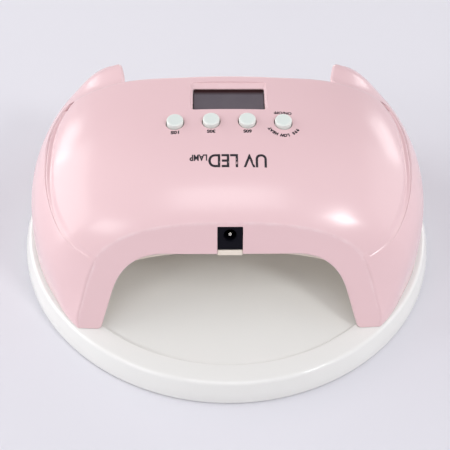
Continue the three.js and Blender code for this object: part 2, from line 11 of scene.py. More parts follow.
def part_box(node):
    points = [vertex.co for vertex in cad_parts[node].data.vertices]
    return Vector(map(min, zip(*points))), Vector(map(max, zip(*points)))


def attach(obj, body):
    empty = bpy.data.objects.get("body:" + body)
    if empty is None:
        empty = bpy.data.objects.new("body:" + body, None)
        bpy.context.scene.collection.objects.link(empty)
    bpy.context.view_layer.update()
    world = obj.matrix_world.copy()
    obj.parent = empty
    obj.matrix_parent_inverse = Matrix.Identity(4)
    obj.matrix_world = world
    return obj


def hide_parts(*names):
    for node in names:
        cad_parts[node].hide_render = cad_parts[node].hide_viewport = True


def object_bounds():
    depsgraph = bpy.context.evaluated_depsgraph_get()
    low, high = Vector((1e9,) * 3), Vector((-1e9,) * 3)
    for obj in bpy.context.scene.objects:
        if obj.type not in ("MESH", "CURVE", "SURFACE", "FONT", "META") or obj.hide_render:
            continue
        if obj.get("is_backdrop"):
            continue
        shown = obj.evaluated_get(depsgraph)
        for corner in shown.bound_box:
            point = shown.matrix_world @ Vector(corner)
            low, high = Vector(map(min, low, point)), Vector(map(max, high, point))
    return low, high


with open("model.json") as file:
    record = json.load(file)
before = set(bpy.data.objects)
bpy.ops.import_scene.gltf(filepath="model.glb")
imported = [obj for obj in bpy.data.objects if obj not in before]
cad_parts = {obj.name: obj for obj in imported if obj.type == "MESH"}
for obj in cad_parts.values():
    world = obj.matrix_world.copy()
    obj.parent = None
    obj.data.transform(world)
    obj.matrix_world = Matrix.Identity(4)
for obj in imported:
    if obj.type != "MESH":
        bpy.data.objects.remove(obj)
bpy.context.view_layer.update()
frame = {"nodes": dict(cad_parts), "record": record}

NODES = frame["nodes"]

# ---------------------------------------------------------------- dimensions, in millimetres

GAP = 0.35
BASE_RADIUS = 110.0
BASE_TOP_RADIUS = 106.8
BASE_TOP = 14.0
FLOOR_RADIUS = 95.4
FLOOR_TOP = 12.2
FOOT = 14.3

BODY_RADIUS = 103.7
TOP_HEIGHT = 91.0
CROWN_Y = -28.7
REAR_DROP = 23.7
REAR_RUN = 83.5
REAR_POWER = 3.2
FRONT_DROP = 0.0075
SIDE_POWER = 2.28
HEIGHT_POWER = 3.42
REAR_HEIGHT_POWER = 1.6
REAR_FLARE = 1.7
FACE_Y = 76.2
FACE_LEAN = 0.42
FACE_BOW = 0.0004

HOOD_WALL = 2.2
WING_WALL = 1.8
WING_EDGE = 0.7
EAR_REAR = -31.4
EAR_INNER_X = 54.5
EAR_DIP = 1.0
EAR_RISE = 2.4
EAR_REACH = 2.5
EAR_ROUND = 5.5
RIM_HEIGHT = 63.5
GROOVE_HEIGHT = 5.8
GROOVE_DEPTH = 2.1
GROOVE_DEPTH_REAR = 0.5
GROOVE_GAP = 0.12

LINER_WALL = 1.6
LINER_HALF_WIDTH = 88.0
LINER_NARROWING = 23.0
LINER_TOP = 69.0
LINER_REAR_TOP = 53.6
LINER_FRONT_TOP = 59.0

PANEL_ORIGIN = np.array([0.0, 5.4, 89.37])
PANEL_TILT = math.radians(5)
BUTTON_X = [26.4, 8.8, -8.8, -26.4]
BUTTON_NODES = ["button_10s", "button_30s", "button_60s", "button_power"]
BUTTON_RADIUS = 4.1
BUTTON_PROUD = 2.0
BOARD_TOP = -13.5
DISPLAY_Y = -16.8
DISPLAY_SIZE = (35.0, 14.6)

JACK_ORIGIN = np.array([0.0, 56.4, 61.1])
JACK_TILT = math.atan(FACE_LEAN)
JACK_SIZE = 11.9
BORE_CENTRE = np.array([0.0, 0.0, 1.5])

LED_PLACES = [
    (75.7, -16), (104.3, -16), (38, -36), (36, -6), (38, 22),
    (142, -36), (144, -6), (142, 22), (74, 16), (106, 16),
]
LENS_RADIUS = 3.2
LENS_FLANGE = 4.6
SENSOR_PLACE = (90, -12)
SENSOR_RADIUS = 2.6
SENSOR_FLANGE = 3.8


def smooth(value, start, end):
    t = np.clip((np.asarray(value, float) - start) / (end - start), 0, 1)
    return t * t * (3 - 2 * t)


def lerp(a, b, t):
    return a + (b - a) * t


# ---------------------------------------------------------------- materials


class Nodes:
    """Short calls that add and link shader nodes."""

    def __init__(self, name):
        self.material = bpy.data.materials.new(name)
        self.material.use_nodes = True
        self.tree = self.material.node_tree
        self.shader = self.tree.nodes["Principled BSDF"]

    def add(self, kind, **inputs):
        node = self.tree.nodes.new(kind)
        for key, value in inputs.items():
            name = key.replace("_", " ")
            if isinstance(value, bpy.types.NodeSocket):
                self.tree.links.new(value, node.inputs[name])
            else:
                node.inputs[name].default_value = value
        return node

    def link(self, source, target):
        self.tree.links.new(source, target)

    def coordinates(self):
        return self.tree.nodes.new("ShaderNodeTexCoord").outputs["Object"]

    def noise(self, scale, detail=3.0, roughness=0.5):
        node = self.add("ShaderNodeTexNoise", Vector=self.coordinates(), Scale=scale,
                        Detail=detail, Roughness=roughness)
        return node.outputs["Fac"]

    def remap(self, value, low, high, start=0.3, end=0.7):
        node = self.tree.nodes.new("ShaderNodeMapRange")
        self.link(value, node.inputs["Value"])
        node.inputs["From Min"].default_value = start
        node.inputs["From Max"].default_value = end
        node.inputs["To Min"].default_value = low
        node.inputs["To Max"].default_value = high
        return node.outputs["Result"]

    def mix(self, factor, a, b):
        node = self.tree.nodes.new("ShaderNodeMix")
        node.data_type = "RGBA"
        self.link(factor, node.inputs["Factor"])
        for value, socket in ((a, node.inputs[6]), (b, node.inputs[7])):
            if isinstance(value, bpy.types.NodeSocket):
                self.link(value, socket)
            else:
                socket.default_value = (*value, 1.0)
        return node.outputs[2]

    def multiply(self, a, b):
        node = self.tree.nodes.new("ShaderNodeMath")
        node.operation = "MULTIPLY"
        self.link(a, node.inputs[0])
        if isinstance(b, bpy.types.NodeSocket):
            self.link(b, node.inputs[1])
        else:
            node.inputs[1].default_value = b
        return node.outputs[0]

    def bump(self, *layers):
        """Each layer is (height socket, distance in metres)."""
        normal = None
        for height, distance in layers:
            node = self.add("ShaderNodeBump", Height=height, Distance=distance, Strength=1.0)
            if normal is not None:
                self.link(normal, node.inputs["Normal"])
            normal = node.outputs["Normal"]
        self.link(normal, self.shader.inputs["Normal"])


def plastic(name, colour, deeper, roughness, peel=0.000003, grain_scale=1400.0, coat=0.0,
            coat_roughness=0.08, wear=None, specular=0.5):
    """Moulded plastic: slow colour drift, smudged gloss, fine surface peel, paler worn edges."""
    n = Nodes(name)
    tint = n.mix(n.remap(n.noise(14.0, 1.0), 0.0, 1.0, 0.2, 0.8), colour, deeper)
    flecks = n.remap(n.noise(2600.0, 1.0), 0.0, 0.10, 0.3, 0.8)
    tint = n.mix(flecks, tint, tuple(c * 0.9 for c in deeper))
    if wear is not None:
        edge = n.tree.nodes.new("ShaderNodeAttribute")
        edge.attribute_name = "edge"
        rub = n.multiply(edge.outputs["Fac"], n.remap(n.noise(160.0, 4.0, 0.65), 0.0, 1.0, 0.3, 0.75))
        tint = n.mix(n.multiply(rub, 0.5), tint, wear)
    n.link(tint, n.shader.inputs["Base Color"])
    smudge = n.remap(n.noise(26.0, 2.0), roughness[0], roughness[1], 0.15, 0.85)
    n.link(smudge, n.shader.inputs["Roughness"])
    n.shader.inputs["Coat Weight"].default_value = coat
    n.shader.inputs["Coat Roughness"].default_value = coat_roughness
    n.shader.inputs["Specular IOR Level"].default_value = specular
    n.bump((n.noise(grain_scale, 2.0), peel), (n.noise(150.0, 1.0), peel * 1.2))
    return n.material


PINK = plastic("pink_shell_plastic", (0.80, 0.565, 0.58), (0.785, 0.55, 0.565), (0.2, 0.26),
               coat=0.15, coat_roughness=0.16, wear=(0.90, 0.74, 0.75))
WHITE = plastic("white_base_plastic", (0.82, 0.82, 0.79), (0.79, 0.79, 0.76), (0.09, 0.17),
                coat=0.1, wear=(0.86, 0.86, 0.84))
INNER_WHITE = plastic("white_inner_plastic", (0.85, 0.77, 0.67), (0.81, 0.73, 0.63), (0.2, 0.34),
                      wear=(0.85, 0.85, 0.83))
KEY_WHITE = plastic("key_plastic", (0.74, 0.80, 0.755), (0.69, 0.755, 0.71), (0.3, 0.42),
                    peel=0.000006, wear=(0.95, 0.94, 0.87))
BLACK = plastic("black_plastic", (0.002, 0.002, 0.005), (0.004, 0.004, 0.008), (0.4, 0.55),
                peel=0.000008, wear=(0.02, 0.02, 0.025), specular=0.12)
RUBBER = plastic("foot_rubber", (0.52, 0.52, 0.5), (0.42, 0.42, 0.4), (0.7, 0.9), peel=0.00003)
CABLE = plastic("cable_sleeve", (0.35, 0.02, 0.02), (0.25, 0.012, 0.015), (0.4, 0.6))


def board_material(name, mask, trace, pad):
    """A circuit board: solder mask over faint traces, with plated pads."""
    n = Nodes(name)
    cells = n.tree.nodes.new("ShaderNodeTexVoronoi")
    cells.feature = "DISTANCE_TO_EDGE"
    n.link(n.coordinates(), cells.inputs["Vector"])
    cells.inputs["Scale"].default_value = 260.0
    lines = n.remap(cells.outputs["Distance"], 1.0, 0.0, 0.02, 0.07)
    tint = n.mix(n.multiply(lines, n.remap(n.noise(60.0), 0.0, 1.0)), mask, trace)
    spots = n.tree.nodes.new("ShaderNodeTexVoronoi")
    n.link(n.coordinates(), spots.inputs["Vector"])
    spots.inputs["Scale"].default_value = 330.0
    dots = n.remap(spots.outputs["Distance"], 1.0, 0.0, 0.1, 0.16)
    tint = n.mix(dots, tint, pad)
    n.link(tint, n.shader.inputs["Base Color"])
    n.link(n.remap(n.noise(90.0), 0.3, 0.5), n.shader.inputs["Roughness"])
    n.bump((lines, 0.00003))
    return n.material


def metal_material(name, colour, deeper, roughness):
    n = Nodes(name)
    tint = n.mix(n.remap(n.noise(220.0, 4.0), 0.0, 1.0), colour, deeper)
    n.link(tint, n.shader.inputs["Base Color"])
    n.link(n.remap(n.noise(420.0, 3.0), roughness[0], roughness[1]), n.shader.inputs["Roughness"])
    n.shader.inputs["Metallic"].default_value = 1.0
    n.bump((n.noise(2200.0, 2.0), 0.000004))
    return n.material


BOARD = board_material("green_board", (0.02, 0.12, 0.05), (0.04, 0.2, 0.09), (0.6, 0.58, 0.5))
LED_BOARD = board_material("white_board", (0.72, 0.72, 0.68), (0.6, 0.6, 0.56), (0.75, 0.72, 0.6))
STEEL = metal_material("nickel_steel", (0.72, 0.73, 0.75), (0.58, 0.59, 0.62), (0.2, 0.36))
BRASS = metal_material("plated_pin", (0.86, 0.85, 0.82), (0.7, 0.66, 0.55), (0.12, 0.24))


def window_material_with_painted_reflection(front, depth):
    """Smoked acrylic with a dark brown band painted along its front edge, a painted shadow under the
    pocket's far wall and a painted reflection of the pink wall in the glass, and faint hairlines from
    wiping.
    """
    n = Nodes("smoked_acrylic_painted_reflection")
    tint = n.mix(n.remap(n.noise(70.0), 0.0, 1.0), (0.115, 0.099, 0.113), (0.135, 0.118, 0.132))
    place = n.add("ShaderNodeSeparateXYZ", Vector=n.coordinates())
    # Painted shadow and painted reflection: a dark brown band at the window's front edge, fading out
    # over depth.
    band = n.remap(place.outputs["Y"], 1.0, 0.0, front, front + depth)
    tint = n.mix(band, tint, (0.028, 0.009, 0.008))
    n.link(tint, n.shader.inputs["Base Color"])
    n.link(n.remap(n.noise(300.0, 5.0, 0.7), 0.04, 0.12), n.shader.inputs["Roughness"])
    n.bump((n.noise(240.0, 2.0), 0.0000015))
    return n.material


def lens_material(name, colour, deeper):
    n = Nodes(name)
    tint = n.mix(n.remap(n.noise(500.0), 0.0, 1.0), colour, deeper)
    n.link(tint, n.shader.inputs["Base Color"])
    n.link(n.remap(n.noise(600.0), 0.05, 0.14), n.shader.inputs["Roughness"])
    n.shader.inputs["Coat Weight"].default_value = 0.6
    n.shader.inputs["Coat Roughness"].default_value = 0.03
    n.bump((n.noise(900.0, 2.0), 0.000003))
    return n.material


def ink_material():
    """Pad-printed ink, a little uneven."""
    n = Nodes("printed_ink")
    tint = n.mix(n.remap(n.noise(1500.0, 3.0), 0.0, 1.0), (0.006, 0.005, 0.009), (0.018, 0.014, 0.02))
    n.link(tint, n.shader.inputs["Base Color"])
    n.link(n.remap(n.noise(800.0), 0.35, 0.55), n.shader.inputs["Roughness"])
    n.bump((n.noise(2500.0, 2.0), 0.000003))
    return n.material


DISPLAY_FRONT = (PANEL_ORIGIN[1] + DISPLAY_Y - DISPLAY_SIZE[1] / 2) * 0.001
# The window's material paints a shadow and reflection band along its front edge.
WINDOW = window_material_with_painted_reflection(DISPLAY_FRONT + 0.0016, 0.0024)
LENS = lens_material("led_lens", (0.80, 0.78, 0.62), (0.72, 0.68, 0.48))
SENSOR = lens_material("sensor_lens", (0.05, 0.012, 0.03), (0.08, 0.02, 0.045))
INK = ink_material()


# ---------------------------------------------------------------- mesh tools


def make_object(name, mesh, materials, body, replaced=()):
    piece = bpy.data.objects.new(name, mesh)
    bpy.context.scene.collection.objects.link(piece)
    for material in materials if isinstance(materials, (list, tuple)) else [materials]:
        piece.data.materials.append(material)
    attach(piece, body)
    if replaced:
        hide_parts(*replaced)
    return piece


def shade(mesh, degrees=32.0):
    mesh.shade_smooth()
    mesh.set_sharp_from_angle(angle=math.radians(degrees))


def set_edge(mesh, values):
    """Stores how worn each vertex is, from 0 to 1, for the materials to read."""
    attribute = mesh.attributes.new("edge", "FLOAT", "POINT")
    attribute.data.foreach_set("value", np.asarray(values, np.float32).ravel())


def grid_faces(rows, columns, close_rows=False, close_columns=False):
    faces = []
    for i in range(rows if close_rows else rows - 1):
        a = i * columns
        b = ((i + 1) % rows) * columns
        for j in range(columns if close_columns else columns - 1):
            k = (j + 1) % columns
            faces.append((a + j, a + k, b + k, b + j))
    return faces


def build_mesh(name, points, faces, edge=None, degrees=32.0):
    """A mesh from points in millimetres, with its faces turned outwards."""
    mesh = bpy.data.meshes.new(name)
    mesh.from_pydata((np.asarray(points) * 0.001).tolist(), [], faces)
    if edge is not None:
        set_edge(mesh, edge)
    shell = bmesh.new()
    shell.from_mesh(mesh)
    bmesh.ops.remove_doubles(shell, verts=shell.verts, dist=1e-7)
    bmesh.ops.recalc_face_normals(shell, faces=shell.faces)
    shell.to_mesh(mesh)
    shell.free()
    shade(mesh, degrees)
    return mesh


def rounded_profile(corners, steps=5):
    """(radius, height, fillet) corners to a list of points with round fillets."""
    points = []
    count = len(corners)
    for i, (r, z, fillet) in enumerate(corners):
        here = np.array([r, z], float)
        if fillet <= 0 or i in (0, count - 1):
            points.append(here)
            continue
        before = np.array(corners[i - 1][:2], float) - here
        after = np.array(corners[i + 1][:2], float) - here
        start = here + before / np.linalg.norm(before) * fillet
        end = here + after / np.linalg.norm(after) * fillet
        for t in np.linspace(0, 1, steps + 1):
            points.append((1 - t) ** 2 * start + 2 * t * (1 - t) * here + t * t * end)
    return np.array(points)


def turned(profile, segments=64):
    """Points and faces of a lathe about Z whose profile starts and ends on the axis."""
    points = [(0.0, 0.0, profile[0][1]), (0.0, 0.0, profile[-1][1])]
    rings = []
    for r, z in profile[1:-1]:
        ring = []
        for k in range(segments):
            angle = 2 * math.pi * k / segments
            ring.append(len(points))
            points.append((r * math.cos(angle), r * math.sin(angle), z))
        rings.append(ring)
    faces = []
    for k in range(segments):
        n = (k + 1) % segments
        faces.append((0, rings[0][n], rings[0][k]))
        for low, high in zip(rings, rings[1:]):
            faces.append((low[k], low[n], high[n], high[k]))
        faces.append((1, rings[-1][k], rings[-1][n]))
    return np.array(points), faces


def merged(parts):
    """Joins (points, faces) pairs into one."""
    points = []
    faces = []
    offset = 0
    for part_points, part_faces in parts:
        points.append(np.asarray(part_points, float))
        faces.extend(tuple(i + offset for i in face) for face in part_faces)
        offset += len(part_points)
    return np.concatenate(points), faces


def rotation_x(angle):
    c, s = math.cos(angle), math.sin(angle)
    return np.array([[1, 0, 0], [0, c, -s], [0, s, c]])


def placed(points, matrix, origin):
    return np.asarray(points, float) @ np.asarray(matrix).T + origin


PANEL_TURN = rotation_x(-PANEL_TILT)
JACK_TURN = rotation_x(JACK_TILT)


def rounded_rectangle(half_x, low_y, high_y, radius, steps=6):
    """Anticlockwise outline of a rectangle with round corners."""
    outline = []
    corners = [
        (half_x - radius, low_y + radius, -90), (half_x - radius, high_y - radius, 0),
        (-half_x + radius, high_y - radius, 90), (-half_x + radius, low_y + radius, 180),
    ]
    for x, y, start in corners:
        for t in np.linspace(0, 90, steps + 1):
            angle = math.radians(start + t)
            outline.append((x + radius * math.cos(angle), y + radius * math.sin(angle)))
    return np.array(outline)


def stack(outlines):
    """A closed solid through outlines of equal length, each an (n, 3) array, bottom first."""
    count = len(outlines[0])
    points = np.concatenate(outlines)
    faces = grid_faces(len(outlines), count, close_columns=True)
    faces.append(tuple(range(count))[::-1])
    faces.append(tuple(range(len(points) - count, len(points))))
    return points, faces


def level(outline, z):
    return np.column_stack([outline, np.full(len(outline), z)])


def rounded_block(half_x, low_y, high_y, low_z, high_z, corner, fillet, steps=4):
    """A block with round upright corners and filleted top and bottom edges."""
    layers = []
    for t in np.linspace(0, 90, steps + 1):
        inset = fillet * (1 - math.sin(math.radians(t)))
        rise = fillet * (1 - math.cos(math.radians(t)))
        layers.append((inset, low_z + rise))
    for t in np.linspace(90, 0, steps + 1):
        inset = fillet * (1 - math.sin(math.radians(t)))
        rise = fillet * (1 - math.cos(math.radians(t)))
        layers.append((inset, high_z - rise))
    return stack([
        level(rounded_rectangle(half_x - i, low_y + i, high_y - i, max(corner - i, 0.05)), z)
        for i, z in layers
    ])


def boolean(piece, cutter, operation="DIFFERENCE"):
    modifier = piece.modifiers.new("cut", "BOOLEAN")
    modifier.operation = operation
    modifier.solver = "EXACT"
    modifier.object = cutter
    view = bpy.context.evaluated_depsgraph_get()
    result = bpy.data.meshes.new_from_object(piece.evaluated_get(view))
    piece.modifiers.clear()
    old = piece.data
    piece.data = result
    bpy.data.meshes.remove(old)
    bpy.data.objects.remove(cutter)


def scratch(name, parts):
    """An object for cutting only."""
    points, faces = merged(parts)
    mesh = build_mesh(name, points, faces)
    cutter = bpy.data.objects.new(name, mesh)
    bpy.context.scene.collection.objects.link(cutter)
    return cutter


# ---------------------------------------------------------------- the hood's surface


def crown(y):
    y = np.asarray(y, float)
    front = TOP_HEIGHT - FRONT_DROP * np.minimum(y - CROWN_Y, 0) ** 2
    rear = REAR_DROP * (np.maximum(y - CROWN_Y, 0) / REAR_RUN) ** REAR_POWER
    return front - rear


def height_power(y):
    """The sides slope more evenly towards the rear face."""
    return lerp(HEIGHT_POWER, REAR_HEIGHT_POWER, smooth(y, 48, 70))


def foot_radius(y):
    return BODY_RADIUS + REAR_FLARE * smooth(y, 50, 72)


def skin(theta, y, inset):
    """x and z of the outer surface, moved inwards by inset. Theta runs from foot to foot."""
    half = np.sqrt((foot_radius(y) - inset) ** 2 - y * y)
    rise = crown(y) - inset - FOOT
    c, s = np.cos(theta), np.clip(np.sin(theta), 0, 1)
    return np.sign(c) * half * np.abs(c) ** (2 / SIDE_POWER), FOOT + rise * s ** (2 / height_power(y))


def skin_top(x, y):
    half = np.sqrt(BODY_RADIUS ** 2 - y * y)
    share = np.clip(1 - (np.abs(x) / half) ** SIDE_POWER, 0, 1)
    return FOOT + (crown(y) - FOOT) * share ** (1 / HEIGHT_POWER)


def rear_face(x, z, back=0.0):
    return FACE_Y - back - FACE_BOW * x * x - (z - FOOT) * FACE_LEAN


def front_face(x, z, back=0.0):
    return -rear_face(x, z, back)


def fascia_face(x, z, back=0.0):
    slope = -28.5 - (TOP_HEIGHT - z) * 0.75
    return np.maximum(slope, front_face(x, z, 2.4)) + back


def fascia_inset(z):
    return lerp(WING_WALL + 2 * GAP, 5.6, smooth(z, 48, 66))


def rim_height(y):
    behind = np.maximum(y, 0)
    ahead = np.maximum(-10 - np.asarray(y, float), 0)
    return RIM_HEIGHT - 0.085 * behind - 0.0026 * behind ** 2 + 0.011 * ahead ** 2


def crease_height(y):
    return rim_height(y) + GROOVE_HEIGHT * (1 - 0.25 * smooth(y, 0, 40) - 0.4 * smooth(y, 46, 60))


def wing_wall(x, y, z):
    return lerp(WING_EDGE, WING_WALL, smooth(rear_face(x, z) - y, 0, 12))


def groove_depth(y):
    """Depth of the groove along a wing's edge. It grows shallow towards the rear."""
    return lerp(GROOVE_DEPTH, GROOVE_DEPTH_REAR, smooth(y, 0, 50))


def ear_dip(y, z):
    """The ears dip under the hood's front edge, and rise again towards their tips."""
    dip = EAR_DIP * smooth(y, EAR_REAR - 17, EAR_REAR) * smooth(z, 65, 76)
    return dip - EAR_RISE * smooth(-y, 33, 47) * smooth(z, 64, 80)


def wing_front(x, z):
    return front_face(x, z, -EAR_REACH * smooth(z, 62, 78))


def solve(theta_of, face, inset, passes=16):
    """The points where the surface at that inset meets a face. theta_of gives each column's theta."""
    y = np.zeros_like(theta_of(0.0))
    x, z = skin(theta_of(y), y, 0.0)
    for _ in range(passes):
        y = face(x, z)
        x, z = skin(theta_of(y), y, inset(x, y, z))
    return np.column_stack([x, y, z])


def on_skin(theta, y, inset, passes=6):
    x, z = skin(theta, y, 0.0)
    for _ in range(passes):
        x, z = skin(theta, y, inset(x, y, z))
    return np.column_stack([x, y, z])


def even_theta(count, start, end, y=10.0):
    """Thetas spaced evenly along the section at y."""
    fine = math.pi / 2 * (1 - np.cos(np.linspace(0, math.pi, 6001)))
    x, z = skin(fine, np.full_like(fine, y), 0.0)
    run = np.concatenate([[0], np.cumsum(np.hypot(np.diff(x), np.diff(z)))])
    limits = np.interp([start, end], fine, run)
    return np.interp(np.linspace(*limits, count), run, fine)


HALF_SECTION = even_theta(3001, 0.0, math.pi / 2)
SHARES = np.linspace(0, 1, 3001)


def height_share(y, height):
    """Share of the way from foot to crown at which the section at y has this height."""
    s = np.clip((height - FOOT) / (crown(y) - FOOT), 0, 1) ** (height_power(y) / 2)
    return np.interp(np.arcsin(s), HALF_SECTION, SHARES)


class HoodColumns:
    """Columns of the hood's mesh. They follow the wings' edges and the creases beside them.

    Kind 0 lies under a wing, 1 in the groove along its edge, from its upper crease down to the
    wing's lip, and 2 over the crown. Step runs from 0 to 1 across each kind.
    """

    def __init__(self, below, groove, above):
        kind = [0] * below + [1] * groove + [2] * above
        step = np.concatenate([
            np.linspace(0, 1, below), np.linspace(1, 0, groove + 1)[:-1], np.linspace(0, 1, above),
        ])
        self.kind = np.array(kind + kind[-2::-1])
        self.step = np.concatenate([step, step[-2::-1]])
        self.left = np.arange(len(self.kind)) < len(kind)
        self.count = len(self.kind)

    def theta(self, y):
        y = np.clip(y + np.zeros(self.count), -30, 61)
        rim = height_share(y, rim_height(y))
        lip = rim + GROOVE_GAP / 150
        crease = height_share(y, crease_height(y))
        share = np.choose(self.kind, [
            rim * self.step, lerp(crease, lip, self.step), lerp(crease, 1.0, self.step)])
        theta = np.interp(share, SHARES, HALF_SECTION)
        return np.where(self.left, theta, math.pi - theta)

    def inset(self, x, y, z):
        depth = groove_depth(y)
        away = smooth(rear_face(x, z) - y, 0, 8)
        hidden = np.maximum(wing_wall(x, y, z) + lerp(0.02, 0.1, away), depth * away)
        hidden = lerp(hidden, 0.35 * depth, smooth(self.step, 0.93, 1.0) * (1 - away))
        down = 0.5 - 0.5 * np.cos(np.pi * np.clip(self.step / 0.74, 0, 1))
        up = 0.5 - 0.5 * np.cos(np.pi * np.clip((self.step - 0.74) / 0.26, 0, 1))
        shown = depth * (down - 0.65 * up)
        return np.choose(self.kind, [hidden, shown, 0 * z])

    def on_skin(self, y, inset):
        return on_skin(self.theta(y), y, inset)


def along(line):
    """How far along a line each of its points lies, from 0 to 1."""
    run = np.concatenate([[0], np.cumsum(np.linalg.norm(np.diff(line, axis=0), axis=1))])
    return run / run[-1]


def opening(shares, half_foot, knee, top, reach):
    """Outline of an arched opening, foot to foot, at shares of its length from 0 to 1.

    Each side is a rounded toe, a leaning side and a round shoulder.
    """
    (kx, kz), (tx, tz) = knee, reach

    def bend(p0, p1, p2, p3, steps):
        t = np.linspace(0, 1, steps)[:, None]
        p0, p1, p2, p3 = (np.array(p, float) for p in (p0, p1, p2, p3))
        ends = (1 - t) ** 3 * p0 + t ** 3 * p3
        return ends + 3 * t * (1 - t) ** 2 * p1 + 3 * t * t * (1 - t) * p2

    toe = bend((half_foot + 2.0, FOOT), (half_foot + 0.4, FOOT),
               (half_foot - 0.3, FOOT + 0.8), (half_foot - 0.8, FOOT + 2.8), 10)
    shoulder = bend((kx, kz), (kx - 3.2, kz + (top - kz) * 0.5),
                    (tx + 15.5, top - 0.6), (tx, tz), 30)
    half = np.concatenate([toe, shoulder, [[0.0, top + 0.1]]])
    full = np.concatenate([half, half[-2::-1] * [-1, 1]])
    run = along(full)
    return np.column_stack([np.interp(shares, run, full[:, 0]), np.interp(shares, run, full[:, 1])])


def foot_faces(ring, y):
    """Triangles across a long thin foot, between the two sides that join its front and rear ends."""
    count = len(ring)
    low, high = int(np.argmin(y)), int(np.argmax(y))
    one = [(low + i) % count for i in range((high - low) % count + 1)]
    other = [(low - i) % count for i in range((low - high) % count + 1)]
    faces = []
    i = j = 0
    while i + j < len(one) + len(other) - 2:
        step_one = j + 1 == len(other) or (i + 1 < len(one) and y[one[i + 1]] < y[other[j + 1]])
        a, b = one[i], other[j]
        if step_one:
            i += 1
            triangle = (a, one[i], b)
        else:
            j += 1
            triangle = (a, other[j], b)
        if len(set(triangle)) == 3:
            faces.append(tuple(ring[k] for k in triangle))
    return faces


def corner_rows(before, corner, after, size, steps=5):
    """Rows that round a corner line, given lines on both sides of it."""
    def towards(other):
        way = other - corner
        return corner + way / np.maximum(np.linalg.norm(way, axis=1, keepdims=True), 1e-9) * size
    start, end = towards(before), towards(after)
    return [
        (1 - t) ** 2 * start + 2 * t * (1 - t) * corner + t * t * end
        for t in np.linspace(0, 1, steps + 1)
    ]


def band(outer, inner, face, shares):
    """Rows across an end face, from its outer line to its inner line."""
    rows = []
    for share in shares:
        row = lerp(outer, inner, share)
        row[:, 1] = face(row[:, 0], row[:, 2])
        rows.append(row)
    return rows


def with_face(outline, face):
    x, z = outline[:, 0], outline[:, 1]
    return np.column_stack([x, face(x, z), z])


def hood_front(x):
    reach = np.abs(x)
    return -27.6 - 2.9 * smooth(reach, 20, 60) + 2.4 * smooth(reach, 76, 86)


REAR_OPENING = dict(half_foot=63.5, knee=(57.6, 32.5), top=53.2, reach=(32.0, 53.1))
FRONT_OPENING = dict(half_foot=66.0, knee=(61.0, 36.0), top=58.6, reach=(36.0, 58.4))


def hood_mesh():
    grid = HoodColumns(24, 22, 80)
    columns = grid.count
    wall = HOOD_WALL

    def thick(x, y, z):
        return grid.inset(x, y, z) + wall

    def fascia(x, y, z):
        return fascia_inset(z)

    def fascia_thick(x, y, z):
        return fascia_inset(z) + wall

    def rear_inside(x, z):
        return rear_face(x, z, wall)

    def fascia_inside(x, z):
        return fascia_face(x, z, wall)

    rear_corner = solve(grid.theta, rear_face, grid.inset)
    rear_hole = opening(along(rear_corner), **REAR_OPENING)
    front_corner = solve(grid.theta, lambda x, z: hood_front(x), grid.inset)
    rows = []
    worn = []

    def put(new_rows, edge=0.0):
        rows.extend(new_rows)
        worn.extend([edge] * len(new_rows))

    first = front_corner[:, 1] + 1.3
    last = rear_corner[:, 1] - 0.85
    # The outside, from front to rear.
    put([grid.on_skin(lerp(first, last, u), grid.inset) for u in np.linspace(0, 1, 120)])
    worn[0] = 0.5

    # The rear face, down to the rear opening.
    rear_edge = with_face(rear_hole, rear_face)
    near_rear = grid.on_skin(rear_corner[:, 1] - 1.2, grid.inset)
    fillet = np.choose(grid.kind, [0.0, lerp(0.5, 0.0, grid.step), 0.5])[:, None]
    put(corner_rows(near_rear, rear_corner, rear_edge, fillet)[1:], 1.0)
    near = band(rear_corner, rear_edge, rear_face, np.linspace(0.08, 0.95, 14))
    put(near)
    inward = rear_edge - [0, wall, 0]
    put(corner_rows(near[-1], rear_edge, inward, 0.8), 0.8)
    put([inward])

    # The inside, from rear to front.
    inner_rear = solve(grid.theta, rear_inside, thick)
    put(band(inner_rear, with_face(rear_hole, rear_inside), rear_inside, [0.6, 0.0]))
    inner_start = front_corner[:, 1] + 3.2
    put([
        grid.on_skin(lerp(inner_rear[:, 1], inner_start, u), thick)
        for u in np.linspace(0.05, 1, 26)
    ])

    inner_front = solve(grid.theta, fascia_inside, fascia_thick)
    start = np.maximum(inner_start - 0.6, inner_front[:, 1])
    put([
        grid.on_skin(lerp(start, inner_front[:, 1], u), fascia_thick)
        for u in np.linspace(0, 1, 10)
    ])

    # The fascia around the front opening, and the step up from it to the outside.
    fascia_corner = solve(grid.theta, fascia_face, fascia)
    front_hole = opening(along(fascia_corner), **FRONT_OPENING)
    front_edge = with_face(front_hole, fascia_face)
    front_inner_edge = with_face(front_hole, fascia_inside)
    put(band(inner_front, front_inner_edge, fascia_inside, [0.5]))
    put([front_inner_edge])
    far = band(front_edge, fascia_corner, fascia_face, np.linspace(0.05, 0.94, 14))
    put(corner_rows(front_inner_edge, front_edge, far[0], 0.8), 0.8)
    put(far)
    step_foot = grid.on_skin(np.maximum(front_corner[:, 1], fascia_corner[:, 1] + 0.3), fascia)
    ledge = [
        grid.on_skin(lerp(fascia_corner[:, 1], step_foot[:, 1], u), fascia)
        for u in np.linspace(0.04, 0.96, 14)
    ]
    put(corner_rows(far[-1], fascia_corner, ledge[0], 0.9), 0.9)
    put(ledge)
    put([step_foot])
    ahead = grid.on_skin(front_corner[:, 1] + 1.5, grid.inset)
    put(corner_rows(step_foot, front_corner, ahead, 1.3)[:-1], 1.0)

    points = np.concatenate(rows)
    faces = grid_faces(len(rows), columns, close_rows=True)
    first = [i * columns for i in range(len(rows))]
    last = [start + columns - 1 for start in first][::-1]
    for ring in (first, last):
        faces += foot_faces(ring, points[ring, 1])
    return build_mesh("hood", points, faces, np.repeat(worn, columns))


